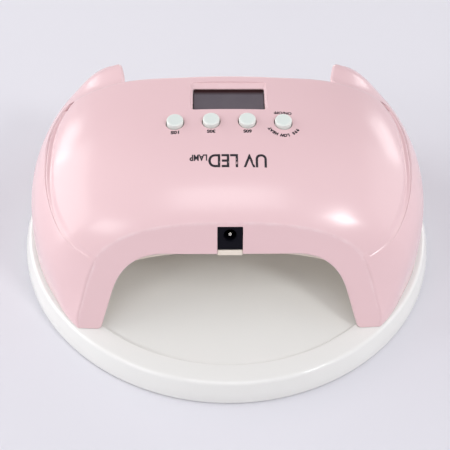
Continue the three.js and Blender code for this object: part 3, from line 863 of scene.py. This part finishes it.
def panel_height(x, y):
    """Height of the hood's surface over the button panel's plane, at panel coordinates."""
    c, s = math.cos(PANEL_TILT), math.sin(PANEL_TILT)
    height = np.zeros_like(np.asarray(x, float))
    for _ in range(8):
        world_y = PANEL_ORIGIN[1] + y * c + height * s
        world_z = PANEL_ORIGIN[2] - y * s + height * c
        height = height + (skin_top(x, world_y) - world_z)
    return height


def draped(outline, drop):
    """An outline laid on the hood's surface and lowered by drop."""
    return np.column_stack([outline, panel_height(outline[:, 0], outline[:, 1]) - drop])


def circle(radius, x=0.0, y=0.0, count=64):
    angles = 2 * np.pi * np.arange(count) / count
    return np.column_stack([x + radius * np.cos(angles), y + radius * np.sin(angles)])


def button_cutter(x):
    layers = [level(circle(BUTTON_RADIUS + GAP, x), -7.5)]
    for t in np.linspace(0, 90, 6):
        angle = math.radians(t)
        radius = BUTTON_RADIUS + GAP + 0.45 * (1 - math.cos(angle))
        layers.append(draped(circle(radius, x), 0.45 * (1 - math.sin(angle))))
    layers.append(draped(circle(BUTTON_RADIUS + GAP + 0.46, x), -2.0))
    return stack(layers)


def display_cutter():
    """The display's pocket: a seat for the window, a slope around it and a rounded rim."""
    w, d = DISPLAY_SIZE
    front, rear = DISPLAY_Y - d / 2, DISPLAY_Y + d / 2
    seat = rounded_rectangle(w / 2 + GAP, front - GAP, rear + GAP, 0.9)
    lip = rounded_rectangle(w / 2 + 0.75, front - 2.6, rear + 0.6, 1.3)
    rim = rounded_rectangle(w / 2 + 1.5, front - 3.9, rear + 1.35, 1.9)
    layers = [level(seat, -3.9), level(seat, -2.2), draped(lip, 0.9)]
    for t in np.linspace(0, 90, 5):
        angle = math.radians(t)
        grown = rim + (rim - rim.mean(axis=0)) / [60, 30] * 0.5 * (1 - math.cos(angle))
        layers.append(draped(grown, 0.4 * (1 - math.sin(angle))))
    layers.append(draped(grown, -2.0))
    return stack(layers)


def jack_cutter():
    half = JACK_SIZE / 2 + 0.15
    outline = rounded_rectangle(half, -14.0, JACK_SIZE / 2 + 0.15, 0.5)
    layers = []
    for y in (4.0, -4.0):
        layers.append(np.column_stack([outline[:, 0], np.full(len(outline), y), outline[:, 1]]))
    return stack(layers)


hood = make_object("hood", hood_mesh(), PINK, "lamp", ["hood_shell"])
cuts = [display_cutter(), *(button_cutter(x) for x in BUTTON_X)]
cuts = [(placed(p, PANEL_TURN, PANEL_ORIGIN), f) for p, f in cuts]
points, faces = jack_cutter()
cuts.append((placed(points, JACK_TURN, JACK_ORIGIN), faces))
boolean(hood, scratch("cuts", cuts))
shade(hood.data, 38)

# ---------------------------------------------------------------- wings

EDGE_STEPS = 2.2 * np.linspace(0, 1, 15) ** 1.3


def wing_outline(count):
    """The wing's upper edge: along the ear's inner side, down behind it, then along the rim.

    Gives theta, y and the share of the edge's length at each point.
    """
    tip = float(wing_front(EAR_INNER_X + EAR_ROUND, 79.0))
    corner = EAR_REAR + 0.3
    inner = np.linspace(tip, corner, 60)
    short = np.clip(EAR_ROUND - (inner - tip), 0, None)
    inner_x = EAR_INNER_X + EAR_ROUND - np.sqrt(EAR_ROUND ** 2 - short ** 2)
    half = np.sqrt(BODY_RADIUS ** 2 - inner ** 2)
    inner_theta = np.arccos((inner_x / half) ** (SIDE_POWER / 2))
    rim = np.linspace(corner, 61.0, 160)
    rise = (rim_height(rim) - FOOT) / (crown(rim) - FOOT)
    rim_theta = np.arcsin(np.clip(rise, 0, 1) ** (height_power(rim) / 2))
    drop = np.linspace(inner_theta[-1], rim_theta[0], 40)[1:-1]
    y = np.concatenate([inner, np.full(len(drop), corner), rim])
    theta = np.concatenate([inner_theta, drop, rim_theta])
    for _ in range(40):
        y[1:-1] = y[1:-1] * 0.5 + (y[:-2] + y[2:]) * 0.25
        theta[1:-1] = theta[1:-1] * 0.5 + (theta[:-2] + theta[2:]) * 0.25
    run = np.concatenate([[0], np.cumsum(np.hypot(np.diff(y), 85 * np.diff(theta)))])
    steps = count - 2 * len(EDGE_STEPS) + 2
    middle = np.linspace(EDGE_STEPS[-1], run[-1] - EDGE_STEPS[-1], steps)
    place = np.concatenate([EDGE_STEPS, middle[1:-1], run[-1] - EDGE_STEPS[::-1]])
    return np.interp(place, run, theta), np.interp(place, run, y), place / run[-1]


def wing_grid(up, along):
    """Theta and y of every point of a wing, from foot to upper edge, and where each row ends."""
    top_theta, top_y, part = wing_outline(along)
    top_share = np.interp(top_theta, HALF_SECTION, SHARES)
    theta = []
    y = []
    ends = []
    edge = len(EDGE_STEPS)
    for v in np.linspace(0, 1, up):
        row = np.interp(top_share * v, SHARES, HALF_SECTION)
        front = solve(lambda yy: row, wing_front, lambda x, yy, z: ear_dip(yy, z))[:, 1]
        rear = solve(lambda yy: row, rear_face, lambda x, yy, z: 0 * z)[:, 1]
        line = lerp(lerp(front, rear, part), top_y, float(smooth(v, 0, 1)))
        line = np.clip(line, front + EDGE_STEPS[-1], rear - EDGE_STEPS[-1])
        line[:edge] = front[:edge] + EDGE_STEPS
        line[-edge:] = rear[-edge:] - EDGE_STEPS[::-1]
        theta.append(row)
        y.append(line)
        ends.append((front, rear))
    return np.array(theta), np.array(y), np.array(ends)


def rolled(distance, width, depth):
    """How far an edge of that width has rolled down at a distance from its end."""
    t = np.clip(1 - distance / width, 0, 1)
    return depth * (1 - np.sqrt(1 - 0.96 * t * t)) / 0.8


def wing_object(side):
    up, along = 90, 250
    theta, y, ends = wing_grid(up, along)
    from_front = y - ends[:, 0]
    from_rear = ends[:, 1] - y
    height = on_skin(theta.ravel(), y.ravel(), lambda x, yy, z: 0 * z)[:, 2].reshape(up, along)
    ear = smooth(height, 56, 68)
    roll = rolled(from_front, lerp(0.9, 1.9, ear), lerp(0.6, 1.5, ear))
    roll += rolled(from_rear, 0.6, 0.3)

    def surface(inner):
        def inset(x, yy, z):
            wall = np.maximum(wing_wall(x, yy, z), roll.ravel() + 0.35) if inner else roll.ravel()
            return ear_dip(yy, z) + wall
        return on_skin(theta.ravel(), y.ravel(), inset).reshape(up, along, 3)

    outer = surface(False)
    inner = surface(True)
    way = outer[-1] - outer[-2]
    way /= np.maximum(np.linalg.norm(way, axis=1, keepdims=True), 1e-6)
    middle = (outer[-1] + inner[-1]) / 2
    half = (outer[-1] - inner[-1]) / 2
    widest = lerp(0.9, 0.15, smooth(y[-1], 0, 40))
    reach = np.minimum(np.linalg.norm(half, axis=1), widest)[:, None]
    nose = [
        middle + half * math.cos(t) + way * reach * (math.sin(t) - 1)
        for t in np.linspace(0, math.pi, 11)
    ]
    loop = np.array([*outer[:-1], *nose, *inner[-2::-1]])
    worn = np.zeros(loop.shape[:2])
    worn[up - 1:up + 10] = 0.8
    worn[:, :6] = 0.6
    points = loop.reshape(-1, 3)
    points[:, 0] *= side
    faces = grid_faces(len(loop), along, close_rows=True)
    faces.append(tuple(i * along for i in range(len(loop))))
    faces.append(tuple((i + 1) * along - 1 for i in range(len(loop)))[::-1])
    name = "left_wing" if side > 0 else "right_wing"
    mesh = build_mesh(name + "_panel", points, faces, worn.ravel(), 40)
    return make_object(name + "_panel", mesh, PINK, "lamp", [name])


wing_object(1)
wing_object(-1)

# ---------------------------------------------------------------- base


def base_tray():
    profile = rounded_profile([
        (0, FLOOR_TOP - 2, 0), (FLOOR_RADIUS - 3, FLOOR_TOP - 2, 0),
        (FLOOR_RADIUS - 1, BASE_TOP - 2, 0),
        (BASE_TOP_RADIUS - 3, BASE_TOP - 2, 1.5), (BASE_RADIUS - 3, 4, 0.8),
        (BASE_RADIUS - 2.6, 0.6, 0), (BASE_RADIUS - 0.7, 0.6, 0.4), (BASE_RADIUS, 1.8, 0.9),
        (BASE_RADIUS - 0.5, 6.0, 2.0), (BASE_TOP_RADIUS + 0.1, BASE_TOP, 1.9),
        (FLOOR_RADIUS + 0.5, BASE_TOP, 0.55), (FLOOR_RADIUS, FLOOR_TOP, 0.4), (80.0, FLOOR_TOP, 0),
        (40.0, FLOOR_TOP, 0), (0, FLOOR_TOP, 0),
    ], steps=7)
    points, faces = turned(profile, 256)
    radius, height = np.hypot(points[:, 0], points[:, 1]), points[:, 2]
    worn_inside = np.clip(1 - np.abs(radius - FLOOR_RADIUS - 0.4) / 0.5, 0, 1) * (height > 13)
    worn_outside = np.clip(1 - np.abs(radius - BASE_TOP_RADIUS) / 1.6, 0, 1) * (height > 12.5)
    worn = np.maximum(worn_inside, worn_outside)
    mesh = build_mesh("tray", points, faces, worn, 50)
    return make_object("tray", mesh, WHITE, "base", ["base_tray"])


base_tray()


def bottom_plate():
    profile = rounded_profile([
        (0, 0.9, 0), (60, 0.9, 0), (61, 1.3, 0.2), (62, 0.9, 0.2), (BASE_RADIUS - 3.3, 0.9, 0.4),
        (BASE_RADIUS - 3.5, 2.4, 0.3), (0, 2.4, 0),
    ])
    mesh = build_mesh("plate", *turned(profile, 160), degrees=50)
    set_edge(mesh, np.zeros(len(mesh.vertices)))
    return make_object("plate", mesh, WHITE, "base", ["base_bottom_plate"])


bottom_plate()

for i in range(4):
    low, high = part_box(f"rubber_foot_{i + 1}")
    centre = np.array([(low[0] + high[0]) / 2, (low[1] + high[1]) / 2, 0.0]) * 1000
    profile = rounded_profile([
        (0, 0.12, 0), (3.6, 0.12, 0.2), (4.4, 0.0, 0.3), (6.5, 0.0, 0.25), (7, 0.55, 0.15),
        (0, 0.55, 0),
    ])
    points, faces = turned(profile, 40)
    mesh = build_mesh(f"foot_{i + 1}", points + centre, faces, degrees=50)
    make_object(f"foot_{i + 1}", mesh, RUBBER, "base", [f"rubber_foot_{i + 1}"])

# ---------------------------------------------------------------- liner and LEDs


def liner_top(y):
    rise = smooth(50 - y, 0, 52) * (LINER_TOP - LINER_REAR_TOP)
    fall = smooth(-30 - y, 0, 32) * (LINER_TOP - LINER_FRONT_TOP)
    return LINER_REAR_TOP + rise - fall


def liner(theta, y, grow):
    half = LINER_HALF_WIDTH - LINER_NARROWING * (y / 71) ** 2 + grow
    rise = liner_top(y) + grow - FOOT
    c, s = np.cos(theta), np.clip(np.sin(theta), 0, 1)
    return np.stack([
        np.sign(c) * half * np.abs(c) ** (2 / 2.6), y, FOOT + rise * s ** (2 / 3)], axis=-1)


def liner_place(degrees, y):
    """Turn and origin for a piece drawn around the origin, +Z away from the tunnel."""
    theta = math.radians(degrees)
    here = liner(np.array(theta), np.array(float(y)), 0)
    across = liner(np.array(theta + 0.01), np.array(float(y)), 0) - here
    along = liner(np.array(theta), np.array(y + 0.01), 0) - here
    normal = np.cross(along, across)
    normal = Vector(normal / np.linalg.norm(normal))
    turn = Vector((0, 0, 1)).rotation_difference(normal).to_matrix()
    return np.array(turn), here


def liner_half(side):
    """Half of the liner. Its columns run from its foot up to the seam over the tunnel's middle."""
    columns = 76
    seam = math.pi / 2 - 0.0001
    theta = seam * (1 - np.cos(np.linspace(0, math.pi / 2, columns)))
    rows = []
    for grow, order in ((0.0, np.linspace(0, 1, 40)), (-LINER_WALL, np.linspace(1, 0, 40))):
        for u in order:
            y = np.zeros(columns)
            for _ in range(14):
                p = liner(theta, y, grow)
                start = fascia_face(p[:, 0], p[:, 2], HOOD_WALL + 1)
                end = rear_face(p[:, 0], p[:, 2], HOOD_WALL + 0.8)
                y = lerp(start, end, u)
            rows.append(liner(theta, y, grow))
    faces = grid_faces(len(rows), columns, close_rows=True)
    for i in range(len(rows) // 2 - 1):
        strip = [row * columns for row in (i, i + 1, len(rows) - 2 - i, len(rows) - 1 - i)]
        faces.append(tuple(strip))
        faces.append(tuple(first + columns - 1 for first in strip)[::-1])
    points = np.concatenate(rows)
    over_floor = np.hypot(points[:, 0], points[:, 1]) < FLOOR_RADIUS - 1
    foot = np.where(over_floor, FLOOR_TOP + GAP, FOOT + 0.2)
    points[:, 2] = np.where(points[:, 2] < FOOT + 0.2, foot, points[:, 2])
    points[:, 0] = np.maximum(points[:, 0], GAP / 2) * side
    name = "left_liner" if side > 0 else "right_liner"
    mesh = build_mesh(name + "_wall", points, faces, np.zeros(len(points)))
    piece = make_object(name + "_wall", mesh, INNER_WHITE, "lamp", [name])
    holes = []
    sources = [(place, LENS_RADIUS) for place in LED_PLACES]
    for (degrees, y), radius in [*sources, (SENSOR_PLACE, SENSOR_RADIUS)]:
        if side * (90 - degrees) < 0:
            continue
        turn, origin = liner_place(degrees, y)
        points, faces = stack([level(circle(radius + GAP), -8), level(circle(radius + GAP), 4)])
        holes.append((placed(points, turn, origin), faces))
    boolean(piece, scratch("holes", holes))
    shade(piece.data, 38)


liner_half(1)
liner_half(-1)


def lens_piece(name, node, radius, flange, place, material):
    """A domed lens that looks through its hole in the liner, on a wider flange behind it."""
    degrees, y = place
    turn, origin = liner_place(degrees, y)
    low = -LINER_WALL
    outline = [(0, low - 1.5, 0)]
    for t in np.linspace(12, 90, 9):
        angle = math.radians(t)
        outline.append((radius * 0.9 * math.sin(angle), low - 0.3 - 1.2 * math.cos(angle), 0))
    outline += [
        (radius * 0.93, low - 0.3, 0), (radius * 0.97, low + 0.1, 0.05), (radius, low + 0.3, 0.1),
        (radius, 0.4, 0), (flange, 0.4, 0.15), (flange, 1.3, 0.25), (0, 1.3, 0),
    ]
    points, faces = turned(rounded_profile(outline), 48)
    mesh = build_mesh(name, placed(points, turn, origin), faces, degrees=50)
    make_object(name, mesh, material, "lamp", [node])


for i, place in enumerate(LED_PLACES):
    lens_piece(f"lens_{i + 1}", f"led_lens_{i + 1}", LENS_RADIUS, LENS_FLANGE, place, LENS)
lens_piece("sensor", "hand_sensor", SENSOR_RADIUS, SENSOR_FLANGE, SENSOR_PLACE, SENSOR)

# ---------------------------------------------------------------- buttons and display


def panel_piece(name, points, faces, material, body, nodes, edge=None, degrees=40):
    mesh = build_mesh(name, placed(points, PANEL_TURN, PANEL_ORIGIN), faces, edge, degrees)
    return make_object(name, mesh, material, body, nodes)


for x, node in zip(BUTTON_X, BUTTON_NODES):
    seat = float(panel_height(np.array([x]), np.array([0.0]))[0])
    top = seat + BUTTON_PROUD - 0.02
    flange = -5.2 - GAP
    stem = BOARD_TOP + 5.4
    profile = rounded_profile([
        (0, stem, 0), (2, stem, 0.3), (2, flange - 1.2, 0.2), (5.4, flange - 1.2, 0.2),
        (5.4, flange, 0.2), (BUTTON_RADIUS, flange, 0.1), (BUTTON_RADIUS, top, 0.75),
        (BUTTON_RADIUS - 1.3, top, 0.3), (1.6, top - 0.06, 0.4), (0, top - 0.1, 0),
    ], steps=8)
    points, faces = turned(profile, 72)
    radius = np.hypot(points[:, 0], points[:, 1])
    worn = np.clip((radius - BUTTON_RADIUS + 1.2) / 0.6, 0, 1) * (points[:, 2] > top - 2.5)
    panel_piece(node.replace("button_", "cap_"), points + [x, 0, 0], faces, KEY_WHITE,
                "key_" + node.split("_")[1], [node], worn)

w, d = DISPLAY_SIZE
points, faces = rounded_block(w / 2, DISPLAY_Y - d / 2, DISPLAY_Y + d / 2, -3.6, -2.3, 0.7, 0.15)
panel_piece("window", points, faces, WINDOW, "lamp", ["display_window"])


def printed(name, text, size, centre, weight, turn=0.0, width=None):
    """Ink lettering laid on the hood, fitted to a width. It reads upright from the user's side."""
    curve = bpy.data.curves.new(name, "FONT")
    curve.body = text
    curve.size = size
    curve.align_x = "CENTER"
    curve.align_y = "CENTER"
    curve.resolution_u = 6
    curve.offset = size * weight
    holder = bpy.data.objects.new(name, curve)
    bpy.context.scene.collection.objects.link(holder)
    view = bpy.context.evaluated_depsgraph_get()
    mesh = bpy.data.meshes.new_from_object(holder.evaluated_get(view))
    bpy.data.objects.remove(holder)
    shell = bmesh.new()
    shell.from_mesh(mesh)
    bmesh.ops.triangulate(shell, faces=shell.faces)
    long_edges = [edge for edge in shell.edges if edge.calc_length() > 1.2]
    bmesh.ops.subdivide_edges(shell, edges=long_edges, cuts=2)
    flat = np.array([v.co[:2] for v in shell.verts])
    flat -= (flat.min(axis=0) + flat.max(axis=0)) / 2
    if width:
        flat[:, 0] *= width / np.ptp(flat[:, 0])
    c, s = math.cos(turn), math.sin(turn)
    flat = flat @ np.array([[c, s], [-s, c]]) + centre
    heights = panel_height(flat[:, 0], flat[:, 1]) + 0.03
    places = placed(np.column_stack([flat, heights]), PANEL_TURN, PANEL_ORIGIN) * 0.001
    for vertex, place in zip(shell.verts, places):
        vertex.co = place
    shell.to_mesh(mesh)
    shell.free()
    return make_object(name, mesh, INK, "lamp")


for x, text in zip(BUTTON_X[:3], ("10S", "30S", "60S")):
    printed("mark_" + text.lower(), text, 2.5, (x, 6.2), weight=0.05, width=4.1)
printed("mark_on_off", "ON/OFF", 2.3, (BUTTON_X[3], -6.1), weight=0.04, width=8.8)
ARC_TEXT = "99S LOW HEAT"
ARC_RADIUS = 8.0
for k, letter in enumerate(ARC_TEXT):
    if letter == " ":
        continue
    turn = math.radians(lerp(-58, 58, k / (len(ARC_TEXT) - 1)))
    spot = (BUTTON_X[3] + ARC_RADIUS * math.sin(turn), ARC_RADIUS * math.cos(turn))
    printed(f"mark_arc_{k + 1}", letter, 2.1, spot, weight=0.07, turn=-turn)
printed("mark_large", "UV LED", 9.2, (-3.7, 22.4), weight=0.018, width=27.9)
printed("mark_small", "LAMP", 4.3, (15.0, 20.8), weight=0.035, width=8.4)

# ---------------------------------------------------------------- power socket


def socket_piece(name, points, faces, material, nodes, edge=None):
    mesh = build_mesh(name, placed(points, JACK_TURN, JACK_ORIGIN), faces, edge, 40)
    return make_object(name, mesh, material, "lamp", nodes)


def lying(points):
    """Turns a piece drawn along +Z so that it runs along +Y."""
    points = np.asarray(points, float)
    return np.column_stack([points[:, 0], points[:, 2], -points[:, 1]])


def in_socket(points):
    return placed(points, JACK_TURN, JACK_ORIGIN)


half = JACK_SIZE / 2
points, faces = rounded_block(half, -half, half, -1.8, -0.1, 0.35, 0.22)
housing = socket_piece("socket", lying(points), faces, BLACK, ["dc_jack_housing"])
points, faces = rounded_block(4.5, -half + 0.02, 3.0, -9.6, -1.5, 0.4, 0.2)
boolean(housing, scratch("rear_block", [(in_socket(lying(points)), faces)]), "UNION")
points, faces = stack([
    level(circle(3.0), -8.4), level(circle(3.0), -0.6), level(circle(3.35), -0.2),
    level(circle(3.45), 1.0),
])
boolean(housing, scratch("bore", [(in_socket(lying(points) + BORE_CENTRE), faces)]))
shade(housing.data, 40)

pin_profile = rounded_profile([(0, -8.1, 0), (0.9, -8.1, 0), (0.9, -1.1, 0.55), (0, -1.1, 0)], 6)
points, faces = turned(pin_profile, 32)
socket_piece("socket_pin", lying(points) + BORE_CENTRE, faces, BRASS, ["dc_jack_pin"])
points, faces = rounded_block(half, half + 0.4, 9.1, -1.8, -0.2, 0.3, 0.2)
socket_piece("socket_strip", lying(points), faces, INNER_WHITE, ["jack_strip"])

# ---------------------------------------------------------------- carried-over pieces


def dress(node, material):
    piece = NODES[node]
    piece.data.materials.clear()
    piece.data.materials.append(material)


SLOT_MATERIALS = {
    "steel": STEEL, "circuit_board": BOARD, "led_board": LED_BOARD, "black_plastic": BLACK,
    "white_inner": INNER_WHITE, "cable": CABLE, "brass": BRASS,
}
for entry in frame["record"]["subparts"]:
    if entry["material_slot"] in SLOT_MATERIALS:
        dress(entry["node"], SLOT_MATERIALS[entry["material_slot"]])

# ---------------------------------------------------------------- studio

scene = bpy.context.scene
floor = bpy.data.meshes.new("studio_floor")
floor.from_pydata([(-3, -4, 0), (3, -4, 0), (3, 3, 0), (-3, 3, 0)], [], [(0, 1, 2, 3)])
ground = bpy.data.objects.new("studio_floor", floor)
scene.collection.objects.link(ground)
paper = Nodes("studio_paper")
cloudy = paper.remap(paper.noise(1.5), 0.0, 1.0)
paper.link(paper.mix(cloudy, (0.715, 0.71, 0.75), (0.735, 0.73, 0.765)),
           paper.shader.inputs["Base Color"])
paper.shader.inputs["Roughness"].default_value = 0.85
paper.shader.inputs["Specular IOR Level"].default_value = 0.2
ground.data.materials.append(paper.material)
ground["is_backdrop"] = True

world = bpy.data.worlds.new("studio")
world.use_nodes = True
scene.world = world
world_tree = world.node_tree
background = world_tree.nodes["Background"]
direction = world_tree.nodes.new("ShaderNodeTexCoord").outputs["Generated"]


def toned(colour, toward, start, end, tone):
    """The studio's colour, turning into another tone around a direction."""
    angle = world_tree.nodes.new("ShaderNodeVectorMath")
    angle.operation = "DOT_PRODUCT"
    world_tree.links.new(direction, angle.inputs[0])
    angle.inputs[1].default_value = toward
    ramp = world_tree.nodes.new("ShaderNodeMapRange")
    ramp.interpolation_type = "SMOOTHSTEP"
    world_tree.links.new(angle.outputs["Value"], ramp.inputs["Value"])
    ramp.inputs["From Min"].default_value = start
    ramp.inputs["From Max"].default_value = end
    sky = world_tree.nodes.new("ShaderNodeMix")
    sky.data_type = "RGBA"
    world_tree.links.new(ramp.outputs["Result"], sky.inputs["Factor"])
    if isinstance(colour, bpy.types.NodeSocket):
        world_tree.links.new(colour, sky.inputs[6])
    else:
        sky.inputs[6].default_value = (*colour, 1)
    sky.inputs[7].default_value = (*tone, 1)
    return sky.outputs[2]


tone = toned((0.93, 0.92, 0.97), (0.0, -0.78, 0.62), 0.45, 0.95, (0.16, 0.15, 0.19))
tone = toned(tone, (0.0, 1.0, 0.05), 0.45, 1.0, (0.34, 0.31, 0.34))
world_tree.links.new(tone, background.inputs["Color"])
background.inputs["Strength"].default_value = 0.8


def softbox(name, azimuth, elevation, distance, size, power, colour=(1, 1, 1)):
    """An area light aimed at the lamp. Azimuth 0 is behind it, at +Y, and 90 is at +X."""
    a, e = math.radians(azimuth), math.radians(elevation)
    way = Vector((math.sin(a) * math.cos(e), math.cos(a) * math.cos(e), math.sin(e)))
    light = bpy.data.lights.new(name, "AREA")
    light.shape = "RECTANGLE"
    light.size, light.size_y = size
    light.energy = power
    light.color = colour
    holder = bpy.data.objects.new(name, light)
    holder.location = Vector((0, 0, 0.05)) + way * distance
    holder.rotation_mode = "QUATERNION"
    holder.rotation_quaternion = way.to_track_quat("Z", "Y")
    scene.collection.objects.link(holder)


softbox("overhead", -1, 66, 1.6, (0.7, 0.42), 3.2)
softbox("key", -47, 42, 1.7, (0.3, 0.34), 6)
softbox("fill", 45, 36, 1.7, (0.5, 0.4), 2.4)
softbox("side", 96, 22, 1.5, (1.5, 1.1), 12)
softbox("far_side", -98, 22, 1.5, (1.3, 1.0), 3.6)
softbox("left_front", 128, 15, 1.5, (0.5, 0.4), 2.2)
softbox("right_front", -128, 15, 1.5, (0.5, 0.4), 2.2)
softbox("mouth", 180, 9, 1.3, (0.5, 0.26), 1.6, (1, 0.93, 0.84))

camera = bpy.data.cameras.new("camera")
camera.lens = 80.0
camera.sensor_width = 36.0
camera.clip_start = 0.01
eye = bpy.data.objects.new("camera", camera)
place = (0.01033, 0.36962, 0.41663)
elevation, yaw, roll = (math.radians(angle) for angle in (47.844, -1.422, 0.873))
facing = Matrix((
    (-1, 0, 0),
    (0, math.sin(elevation), -math.cos(elevation)),
    (0, -math.cos(elevation), -math.sin(elevation)),
))
turned_facing = Matrix.Rotation(roll, 3, "Z") @ facing @ Matrix.Rotation(yaw, 3, "Z").transposed()
right, down, ahead = turned_facing
eye.matrix_world = Matrix((
    *((right[i], -down[i], -ahead[i], place[i]) for i in range(3)),
    (0, 0, 0, 1),
))
scene.collection.objects.link(eye)
scene.camera = eye
scene.view_settings.view_transform = "Standard"

low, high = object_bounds()
